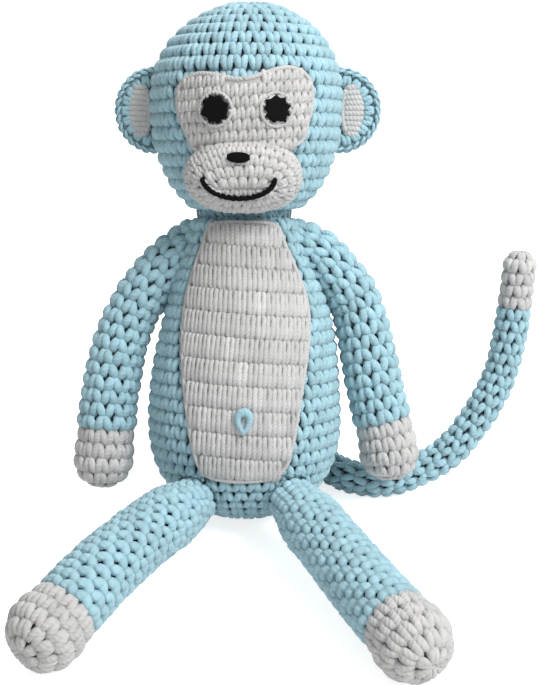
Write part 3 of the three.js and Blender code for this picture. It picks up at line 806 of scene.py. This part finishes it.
def head_form(inset=0.0, closed=False):
    """The head from its top down to its rim. Closed, it goes on in along the neck's socket."""
    radius = HEAD_RADIUS - inset
    crown = oval_arc(radius, HEAD_TOP - HEAD_WIDEST - inset, CROWN_SQUARENESS, 90, 0)
    jaw = oval_arc(radius, HEAD_BOTTOM + HEAD_WIDEST - inset, JAW_SQUARENESS, 0, -90)
    profile = np.concatenate([crown, jaw[1:]]) + [0, HEAD_WIDEST]
    from_neck = np.hypot(profile[:, 0], profile[:, 1] + HEAD_OVER_NECK)
    profile = profile[(from_neck > NECK_SOCKET) | (profile[:, 1] > 0)]
    if closed:
        rim = math.degrees(math.asin((profile[-1, 1] + HEAD_OVER_NECK) / NECK_SOCKET))
        socket = oval_arc(NECK_SOCKET, NECK_SOCKET, 2, rim, 90, 12) - [0, HEAD_OVER_NECK]
        profile = np.concatenate([profile, socket[1:]])

    def sway(height):
        return HEAD_SWAY["all"] + HEAD_SWAY["crown"] * np.clip(height / HEAD_TOP, 0, 1) ** 2
    return Form(profile, straight(HEAD, HEAD_UP, HEAD_FRONT, sway))


# Limbs

def limb_profile(limb, inset):
    """Radius and distance from the pivot, from the limb's tip to the far side of its root."""
    root, upper, join, ball = (limb[key] for key in ("root", "upper", "join", "ball"))
    join_radius, ball_radius = limb["join_radius"], limb["ball_radius"]
    cap = oval_arc(ball_radius - inset, limb["tip"] - ball - inset, 2, 90, 0, 20)
    share = np.linspace(0, 1, 12)[1:]
    end_radius = join_radius + (ball_radius - join_radius) * (1 + np.cos(share * math.pi)) / 2
    end = np.stack([end_radius - inset, ball + (join - ball) * share], axis=1)
    along = np.linspace(join, 0, 60)[1:]
    swelling = np.sin(np.clip(along / limb["swell"], 0, 1) * math.pi / 2)
    tapering = np.clip(along - limb["swell"], 0, None) / (join - limb["swell"])
    radius = root + (upper - root) * swelling + (join_radius - upper) * tapering
    shaft = np.stack([radius - inset, along], axis=1)
    far = oval_arc(root - inset, limb["root_depth"] - inset, 2, 0, -90, 14)[1:]
    return np.concatenate([cap + [0, ball], end, shaft, far])


def split(profile, join):
    """The two parts of a limb's profile on either side of its join, each closed to the axis."""
    end = profile[profile[:, 1] >= join]
    shaft = profile[profile[:, 1] <= join]
    return np.concatenate([end, [[0, end[-1, 1]]]]), np.concatenate([[[0, shaft[0, 1]]], shaft])


def make_limb(name, end_name, limb, axis, work, end_work, seed, stitch=SINGLE, closed=False):
    """A limb's blue cover and white end, in rounds of stitches from the tip to the root, and its filling.

    A closed limb is worked over the end of its root too, because it swings far enough to show that.
    """
    form = Form(limb_profile(limb, STITCH_DEPTH * work.size), axis)
    join = form.way_at(limb["join"])
    end_lining, cover_lining = split(limb_profile(limb, LINING_DEPTH * work.size), limb["join"])
    end, cover = Skein(seed, WHITE_HOLLOW_SHADE, WHITE_FLAT), Skein(seed + 1)
    # The linings are darker: painted shade seen through the gaps between stitches
    end.lining(Form(end_lining, axis), WHITE_LINING_SHADE, sides=24)
    cover.lining(Form(cover_lining, axis), BLUE_LINING_SHADE, sides=24)
    end.sew(form, rounds(form, 0.5, join, end_work), SINGLE, end_work)
    last = form.way_at(0) + limb["root_depth"] / 2
    cover.sew(form, rounds(form, join, last, work), stitch, work)
    if closed:
        cover.sew(form, rounds(form, last, form.length - 0.5, work), stitch, work)
    finished(end, "white_yarn", name, end_name)
    finished(cover, "blue_yarn", name, name + "_cover")
    make_filling(name + "_filling", Form(limb_profile(limb, FILLING_DEPTH * work.size), axis), name)


def make_seam(name, body, centre, inward, ring, seed):
    """Sewing stitches that cross a seam, in a ring round a way inward on a sphere about its centre."""
    radius, polar, count = ring
    skein = Skein(seed)
    inward = unit(inward)
    front = unit(np.cross(inward, [0.3, 0.2, 1.0]))
    other = np.cross(inward, front)
    turn = turns_round(count)[:, None]
    share = np.linspace(-1, 1, 6)
    reach, twist, bulge, thickness = 9, 0.12, 0.5, 0.7
    angle = np.radians(polar + reach * share)
    swing = turn + twist * share
    around = np.cos(swing)[..., None] * front + np.sin(swing)[..., None] * other
    ray = np.cos(angle)[..., None] * inward + np.sin(angle)[..., None] * around
    height = radius - bulge * share ** 2
    # The sewing is darker: painted shade in the seam's crease
    skein.strands(centre + height[..., None] * ray, ray, thickness, tones=0.8)
    finished(skein, "blue_yarn", body, name + "_seam", name=name + "_sewing")


def make_arms():
    up, front = leaning(ARM_LEAN)
    for name, sign in (("left", 1), ("right", -1)):
        limb = f"arm_{name}"
        pivot = PIVOT[limb + "_swing"]
        route = [pivot + sign * out * SIDE + rise * up for out, rise in ARM_ROUTE[name]]
        arm = {**ARM, **ARM_ENDS[name]}
        axis, _ = routed(route, front)
        make_limb(limb, f"hand_{name}", arm, axis, ARM_WORK, HAND_WORK, 21 + sign, closed=True)
        make_seam(limb, f"shoulder_{name}", route[1], route[0] - route[1], ARM_SEAM, 24)


def make_legs():
    for name, seed in (("left", 32), ("right", 30)):
        limb = f"leg_{name}"
        pivot = PIVOT[limb + "_swing"]
        leg = {**LEG, "tip": LEG_TIP[name]}
        drop = (pivot[2] - (LEG["ball_radius"] - FOOT_SINK)) / LEG["ball"]
        level = math.sqrt(1 - drop * drop)
        spread = math.radians(LEG_SPREAD[name])
        ahead = np.array([level * math.sin(spread), -level * math.cos(spread), -drop])
        front = unit(np.cross(np.cross(ahead, [0, 0, 1.0]), ahead))
        bow = LEG_BOW[name]
        ball = LEG["ball"]
        route = [(0, -LEG_DIP), (0.33 * ball, 0.8 * bow), (0.66 * ball, bow), (ball, 0),
                 (leg["tip"] + 1, -0.1 * bow)]
        axis, _ = routed([pivot + along * ahead + rise * front for along, rise in route], front)
        make_limb(limb, f"foot_{name}", leg, axis, LEG_WORK, FOOT_WORK, seed, SHALLOW)
        make_seam(limb, f"hip_{name}", pivot, BELLY - pivot, LEG_SEAM, 34)


def make_tail():
    pivot = PIVOT["tail_swing"]
    axis, length = routed([pivot, *TAIL_ROUTE], np.array([0, -1.0, 0]))
    tail = {**TAIL, "tip": length, "ball": length - TAIL["ball_radius"], "join": length - TAIL_TIP_LENGTH}
    make_limb("tail", "tail_tip", tail, axis, TAIL_WORK, TAIL_TIP_WORK, 40)
    make_seam("tail", "rump", pivot, BELLY - pivot, TAIL_SEAM, 44)


# Body, belly panel and navel

PANEL = mirrored_outline(PANEL_TOP, PANEL_SIDE, [(0, PANEL_BOTTOM)])


def sew_under_cloth(skein, form, cells, outline, bare, work):
    """Sews a cover's stitches, but none that are bare or that cloth hides, and lower ones under its edge."""
    place = Patch(form).back(*cells.middles())
    hidden = bare | inside(drawn_in(outline, HIDDEN_EDGE), *place)
    pressed = PRESSED * inside(drawn_in(outline, PRESSED_EDGE), *place)
    skein.sew(form, cells.keep(~hidden), SINGLE, work, pressed=pressed[~hidden])


def flat_cloth(skein, patch, outline, slope, stitch, work, tone, points, radius, lift):
    """Rows of stitches that fill an outline, a backing behind them and a cord along their edge."""
    rim = drawn_in(outline, CORD_MARGIN)
    # The backing's tone is painted shade, seen in the gaps between the stitches
    skein.backing(patch, rim, 0.1, -1, tone)
    skein.sew(patch, rows_inside(drawn_in(outline, ROWS_MARGIN), work, slope), stitch, work)
    edge = resampled(rim, points, closed=True).T
    normals = patch.normal(*edge)
    skein.cord(patch.point(*edge) + lift * normals, normals, radius, closed=True)


def make_body():
    form = torso_form(STITCH_DEPTH * BODY_WORK.size)
    skein = Skein(1)
    # The lining is darker: painted shade seen through the gaps between stitches
    skein.lining(torso_form(LINING_DEPTH * BODY_WORK.size), BLUE_LINING_SHADE, sides=64)
    cells = rounds(form, 0.7, form.way_at(NECK_HEIGHT) + 7, BODY_WORK)
    places = form.point(*cells.middles())
    bare = np.zeros(len(places), bool)
    limbs = {"arm_left": ARM, "arm_right": ARM, "leg_left": LEG, "leg_right": LEG, "tail": TAIL}
    for name, limb in limbs.items():
        bare |= np.linalg.norm(places - PIVOT[name + "_swing"], axis=1) < HIDDEN_ROOT * limb["root"]
    sew_under_cloth(skein, form, cells, Patch(torso_form()).seen(PANEL), bare, BODY_WORK)
    finished(skein, "blue_yarn", "torso", "body_cover", name="body_yarn")
    make_filling("body_filling", torso_form(FILLING_DEPTH * BODY_WORK.size), "torso")


def make_panel():
    patch = Patch(torso_form(), PANEL_LIFT)
    skein = Skein(2, WHITE_HOLLOW_SHADE, WHITE_FLAT)
    flat_cloth(skein, patch, patch.seen(PANEL), PANEL_SLOPE, DOUBLE, PANEL_WORK, WHITE_LINING_SHADE, **PANEL_CORD)
    finished(skein, "white_yarn", "torso", "belly_panel")


def make_navel():
    """A teardrop loop that is thickest at its top."""
    patch = Patch(torso_form(), NAVEL["lift"])
    skein = Skein(3)
    t = np.linspace(0, TAU, 40, endpoint=False)
    x = NAVEL["place"][0] + NAVEL["across"] * np.sin(t) * np.sin(t / 2)
    y = NAVEL["place"][1] - NAVEL["up"] * np.cos(t)
    radius = NAVEL["thin"] + (NAVEL["thick"] - NAVEL["thin"]) * np.sin(t / 2) ** 2
    skein.cord(patch.point(x, y), patch.normal(x, y), radius, closed=True)
    finished(skein, "blue_yarn", "torso", "navel")


# Head and face

def tilted(outline, degrees):
    tilt = math.radians(degrees)
    return outline @ np.array([[math.cos(tilt), math.sin(tilt)], [-math.sin(tilt), math.cos(tilt)]])


FACE_PATCH = tilted(mirrored_outline(PATCH_DIP, PATCH_SIDE), PATCH_TILT) + [PATCH_SHIFT, 0]


OVER_MUZZLE = placer(MUZZLE, SIDE, MUZZLE_RISE, MUZZLE_FRONT)


def muzzle_surface(inset):
    """The muzzle's dome: a turn about its front, and the way out from the chain that it is worked round."""
    across, up, out = MUZZLE_ACROSS - inset, MUZZLE_UP - inset, MUZZLE_OUT - inset

    def at(turn, way):
        bend = np.radians(MUZZLE_WRAP) * way / MUZZLE_LENGTH
        cos, sin = (np.sign(v) * np.abs(v) ** (2 / MUZZLE_SQUARENESS) for v in (np.cos(turn), np.sin(turn)))
        reach = MUZZLE_CHAIN + (across - MUZZLE_CHAIN) * np.sin(bend)
        return OVER_MUZZLE(reach * cos, up * np.sin(bend) * sin, out * np.cos(bend))
    return Shaped(at, (0.02, 0.3), -1, 0, MUZZLE_LENGTH)


def on_muzzle(across, rise, proud):
    """Points this proud of the muzzle's dome, and the way out there."""
    out = MUZZLE_OUT * np.sqrt(1 - (across / MUZZLE_ACROSS) ** 2 - (rise / MUZZLE_UP) ** 2)
    normal = unit(OVER_MUZZLE(across / MUZZLE_ACROSS**2, rise / MUZZLE_UP**2, out / MUZZLE_OUT**2) - MUZZLE)
    return OVER_MUZZLE(across, rise, out) + proud[..., None] * normal, normal


def make_head():
    form = head_form(STITCH_DEPTH * HEAD_WORK.size)
    skein = Skein(5)
    # The lining is darker: painted shade seen through the gaps between stitches
    skein.lining(head_form(LINING_DEPTH * HEAD_WORK.size, closed=True), BLUE_LINING_SHADE, sides=64)
    cells = rounds(form, 0.6, form.length, HEAD_WORK)
    away = form.point(*cells.middles()) - MUZZLE
    span = (away @ SIDE / MUZZLE_ACROSS) ** 2 + (away @ MUZZLE_RISE / MUZZLE_UP) ** 2
    bare = (span < HIDDEN_MUZZLE) & (away @ HEAD_FRONT > -HEAD_RADIUS / 2)
    sew_under_cloth(skein, form, cells, Patch(head_form()).seen(FACE_PATCH), bare, HEAD_WORK)
    finished(skein, "blue_yarn", "head", "head_cover", name="head_yarn")
    make_filling("head_filling", head_form(FILLING_DEPTH * HEAD_WORK.size, closed=True), "head")


def make_face_patch():
    patch = Patch(head_form(), PATCH_LIFT)
    skein = Skein(7, SMOOTH_PAINTED_SHADE, WHITE_FLAT)
    slope = math.tan(math.radians(PATCH_TILT))
    flat_cloth(skein, patch, patch.seen(FACE_PATCH), slope, SINGLE, PATCH_WORK, SMOOTH_PAINTED_SHADE, **PATCH_CORD)
    finished(skein, "white_yarn", "head", "face_patch")


def make_muzzle():
    skein = Skein(8, SMOOTH_PAINTED_SHADE, WHITE_FLAT)
    rim = MUZZLE_LENGTH - 0.4
    oval = ellipse(rim, rim, turns_round(40))
    # The backing's tone is painted shade, seen in the gaps between the stitches
    skein.backing(Unrolled(muzzle_surface(LINING_DEPTH - 0.4)), oval, 0, -1, WHITE_LINING_SHADE, spacing=3.5)
    surface = muzzle_surface(STITCH_DEPTH)
    cells = rounds(surface, 0.2, MUZZLE_LENGTH, MUZZLE_WORK, seam=math.pi / 2)
    skein.sew(surface, cells, SINGLE, MUZZLE_WORK)
    finished(skein, "white_yarn", "head", "muzzle_cover", name="muzzle_yarn")


def make_eye(name, sign):
    """A black disc with a starry edge, and the white ring of stitches that pull its edge in."""
    across = EYE_SHIFT + sign * EYE_SPACING / 2
    forward = math.sqrt((HEAD_RADIUS + EYE_PROUD) ** 2 - across**2)
    out = unit(across * SIDE + forward * HEAD_FRONT)
    side = unit(np.cross(HEAD_UP, out))
    centre = HEAD + across * SIDE + forward * HEAD_FRONT + EYE_UP * HEAD_UP
    over = placer(centre, side, HEAD_UP, out)

    def disc(x, y):
        return over(x, y, EYE_DOME["height"] - EYE_DOME["fall"] * (x**2 + y**2))
    eye, edging = Skein(50 + sign), Skein(60 + sign, SMOOTH_PAINTED_SHADE)
    points = EYE_POINTS[name]

    def varied(kind, mean=0):
        return eye.random.normal(mean, EYE_VARIETY[kind], points)
    turn = (np.arange(points) + varied("point")) * TAU / points + EYE_TURN
    after = np.append(turn[1:], turn[0] + TAU)
    valley = (turn + after) / 2 + varied("valley")
    reach, depth = varied("reach", EYE_REACH), varied("depth", EYE_VALLEY)
    star = np.stack([ellipse(reach, reach, turn), ellipse(depth, depth, valley)], axis=1)
    eye.backing(Shaped(disc, (0.1, 0.1)), star.reshape(-1, 2), *EYE_THICKNESS, 1.0, spacing=0.9)
    finished(eye, "black_yarn", "head", f"eye_{name}")

    away = depth[:, None] + [0.7, 1, 1.4, 1.8, 2.2]
    valley = valley[:, None]
    lines = over(away * np.cos(valley), away * np.sin(valley), [-0.9, -0.6, -0.4, -0.5, -1])
    edging.strands(lines, out, [0.4, 0.6, 0.7, 0.7, 0.5])
    reach = EYE_REACH + EYE_RING
    edging.cord(over(*ellipse(reach, reach, turns_round(36)).T, -0.6), out, EYE_RING, closed=True)
    finished(edging, "white_yarn", "head", f"eye_ring_{name}")


def make_nose():
    """An oval of satin stitches side by side."""
    skein = Skein(9)
    spread = np.linspace(-1, 1, 6)[:, None]
    share = np.linspace(-1, 1, 11)
    bulge = np.sqrt(np.clip(1 - 0.94 * share**2, 0, 1))
    height = 1.3 + 0.5 * np.sqrt(np.clip(1 - spread**2, 0.15, 1)) * bulge
    across = FACE_SHIFT + NOSE_HALF[0] * share + 0 * spread
    skein.strands(*on_muzzle(across, NOSE_UP + NOSE_HALF[1] * spread * bulge, height), 0.3 + 0.25 * bulge)
    finished(skein, "black_yarn", "head", "nose")


def make_mouth():
    """A bow of stem stitches, each of which starts beside the middle of the last."""
    skein = Skein(10)
    middle = (np.arange(MOUTH["stitches"]) + 0.5) / MOUTH["stitches"]
    angle = math.pi * (1 + middle[:, None] + np.linspace(-0.75, 0.75, 6) / MOUTH["stitches"])
    tilt = np.linspace(-0.35, 0.35, 6)
    across = FACE_SHIFT + (MOUTH["across"] + tilt) * np.cos(angle)
    rise = MOUTH["top"] + (MOUTH["drop"] + tilt) * np.sin(angle)
    lines, normals = on_muzzle(across, rise, np.array([0.8, 1.6, 1.9, 1.9, 1.6, 0.8]))
    skein.strands(lines, normals, [0.6, 0.9, 1, 1, 0.9, 0.6])
    finished(skein, "black_yarn", "head", "mouth")


# Ears

def make_ear(name, sign):
    foot = math.radians(EAR_FOOT)
    root = HEAD + (HEAD_SWAY["all"] + sign * EAR_ROOT_OUT) * SIDE + EAR_UP * HEAD_UP
    placed = placer(root, sign * SIDE, -HEAD_FRONT, HEAD_UP)
    edge_out, edge_up = EAR_EDGE[0] + EAR_LONGER[name], EAR_EDGE[1]
    thin, thick = EAR_THICKNESS

    def dished(side):
        """The ear's front or back: a turn round its root, and mm towards its edge."""
        def at(bend, way):
            share = way / edge_up
            back = EAR_DISH * (1 - share**2) + side * (thin + (thick - thin) * (1 - share**4))
            return placed(edge_out * share * np.cos(bend), back, edge_up * share * np.sin(bend))
        surface = Shaped(at, (0.03, 0.2), low=0)
        surface.face(0.3, 6.0, -side * HEAD_FRONT)
        return surface

    def edge(around, way):
        """The chain along the ear's edge: mm round it from its outer front, and a share of its length."""
        bend = foot * (2 * way - 1)
        turn = around / EAR_CHAIN + 0.5
        out, up = (reach + EAR_CHAIN * np.cos(turn) for reach in (edge_out, edge_up))
        return placed(out * np.cos(bend), -EAR_CHAIN * np.sin(turn), up * np.sin(bend))

    skein = Skein(70 + sign)
    bend = np.linspace(-foot, foot, 40)
    outline = ellipse(edge_out, edge_up, bend)
    plate = Shaped(lambda x, y: placed(x, EAR_DISH / 2, y), (0.1, 0.1), sign)
    # The plate between the ear's halves is darker: painted shade
    skein.backing(plate, outline, 0.9, -0.9, BLUE_LINING_SHADE)
    # A dark cord inside the edge: painted shade between the ear's front and back
    skein.cord(placed(outline[:, 0], 0, outline[:, 1]), HEAD_FRONT, 1.5, tone=0.5)
    for side, start, fewest in ((-1, EAR_OVAL["up"] - 0.2, 6), (1, 0.8, 3)):
        surface = dished(side)
        cells = rounds(surface, start, edge_up, EAR_WORK, seam=-foot, spread=2 * foot, fewest=fewest)
        skein.sew(surface, cells, SINGLE, EAR_WORK)

    chain = Shaped(edge, (0.1, 0.005))
    chain.face(0.0, 0.5, edge(0, 0.5) - placed(edge_out, 0, 0))
    links = round(distances(edge(0, np.linspace(0, 1, 40)))[-1] / CHAIN_WORK.height)
    link = np.ones(links)
    for turned in (0, 3.4):
        cells = Cells(-turned * link, np.arange(links) / links, CHAIN_WORK.width * link, link / links,
                      CHAIN_WORK.width * link)
        skein.sew(chain, cells, SINGLE, CHAIN_WORK, slant=0)
    # A darker cord at the ear's root: painted shade where the ear meets the head
    skein.cord(placed(0.4, 0.4, 0.93 * edge_up * bend / foot), HEAD_FRONT, 1.0, tone=0.8)
    ear = f"ear_{name}"
    finished(skein, "blue_yarn", ear, ear + "_outer", name=ear + "_yarn")
    make_inner_ear(ear, sign, placed)


def make_inner_ear(ear, sign, placed):
    """White ribs across an oval, and one ridge beside the head."""
    middle, half, high = EAR_OVAL["out"], EAR_OVAL["across"], EAR_OVAL["up"]
    inner = Skein(80 + sign, SMOOTH_PAINTED_SHADE)
    level = ((np.arange(EAR_OVAL["ribs"]) + 0.5) / EAR_OVAL["ribs"] * 2 - 1)[:, None]
    share = np.linspace(-1, 1, 8)
    proud = 0.3 + 1.1 * np.sqrt(np.clip(1 - share**2, 0.02, 1))
    lines = placed(middle + half * np.sqrt(1 - 0.85 * level**2) * share, -proud,
                   high * level + 0.5 * level * (share + 1))
    inner.strands(lines, HEAD_FRONT, [1, 1.5, 1.6, 1.6, 1.6, 1.6, 1.5, 1], flat=(1.05, 0.9))
    level = np.linspace(-0.85, 0.85, 14)
    ridge = placed(middle - 0.72 * half * np.sqrt(1 - 0.9 * level**2), -1.6, high * level)
    inner.cord(ridge, HEAD_FRONT, 1.1)
    oval = ellipse(half, high, turns_round(28)) + [middle, 0]
    plate = Shaped(lambda x, y: placed(x, 0, y), (0.1, 0.1), sign)
    # The plate behind the ribs is darker: painted shade between them
    inner.backing(plate, oval, 0.7, -0.3, 0.85)
    finished(inner, "white_yarn", ear, ear + "_inner")


# Camera, lights and floor

CAMERA_PLACE = BELLY + np.array([11, -428.2, 219.6])
CAMERA_DROP = 23
FOCAL_PIXELS = 1067
IMAGE_HEIGHT = 685
SENSOR = 36
FLOOR_GREY = (0.88, 0.88, 0.88, 1)
FLOOR_GLOW = 0.74
WORLD_LIGHT = 0.22
LIT_PLACE = Vector((0, 0, 0.1))

# Each lamp's place and size in metres, and its power in watts
LAMPS = {"key": ((0.65, -0.5, 0.9), 0.45, 11.4), "top": ((0.25, 0, 1.15), 0.5, 5),
         "fill": ((-0.3, -0.9, 0.5), 0.8, 1.5), "back": ((-0.2, 1, 0.5), 0.8, 5)}


def placed_object(name, data, place, turn):
    thing = bpy.data.objects.new(name, data)
    thing.location = place
    thing.rotation_euler = turn
    bpy.context.scene.collection.objects.link(thing)
    return thing


def make_camera():
    data = bpy.data.cameras.new("camera")
    data.sensor_width = SENSOR
    data.lens = SENSOR * FOCAL_PIXELS / IMAGE_HEIGHT
    turn = (math.radians(90 - CAMERA_DROP), 0, 0)
    bpy.context.scene.camera = placed_object("camera", data, Vector(CAMERA_PLACE * MM), turn)


def make_lamps():
    for name, (place, size, power) in LAMPS.items():
        data = bpy.data.lights.new(name, "AREA")
        data.size = size
        data.energy = power
        placed_object(name, data, place, (LIT_PLACE - Vector(place)).to_track_quat("-Z", "Y").to_euler())


def seen_rays(tree):
    """1 for the rays of the camera, of reflections and of things seen through, and 0 for the rest."""
    rays = add_node(tree, "LightPath")
    total = rays["Is Camera Ray"]
    for kind in ("Is Glossy Ray", "Is Transmission Ray"):
        total = calculated(tree, "ADD", total, rays[kind], use_clamp=True)
    return total


def make_stage():
    """A pale floor that the camera sees as near white, and a white world."""
    white = (1, 1, 1, 1)
    bpy.ops.mesh.primitive_plane_add(size=8, location=(0, 0, 0))
    floor = bpy.context.object
    floor.name = "floor"
    material, tree, shader = new_material("floor", {"Base Color": FLOOR_GREY, "Roughness": 0.9,
                                                    "Emission Color": white})
    feed(tree, shader, {"Emission Strength": calculated(tree, "MULTIPLY", seen_rays(tree), FLOOR_GLOW)})
    floor.data.materials.append(material)

    world = bpy.data.worlds.new("studio")
    bpy.context.scene.world = world
    world.use_nodes = True
    tree = world.node_tree
    level = add_node(tree, "MapRange", {"Value": seen_rays(tree), "To Min": WORLD_LIGHT})["Result"]
    feed(tree, tree.nodes["Background"], {"Color": white, "Strength": level})


make_camera()
make_stage()
make_lamps()

make_body()
make_panel()
make_navel()
make_seam("neck", "neck", NECK, -HEAD_UP, NECK_SEAM, 6)
make_head()
make_face_patch()
make_muzzle()
make_eye("left", 1)
make_eye("right", -1)
make_nose()
make_mouth()
make_ear("left", 1)
make_ear("right", -1)
make_arms()
make_legs()
make_tail()

# The muzzle's filling is the part's own solid
muzzle_filling = frame["nodes"]["muzzle_filling"]
muzzle_filling.data.materials.clear()
muzzle_filling.data.materials.append(MATERIAL["fibre"])

bpy.context.scene.view_settings.view_transform = "Standard"
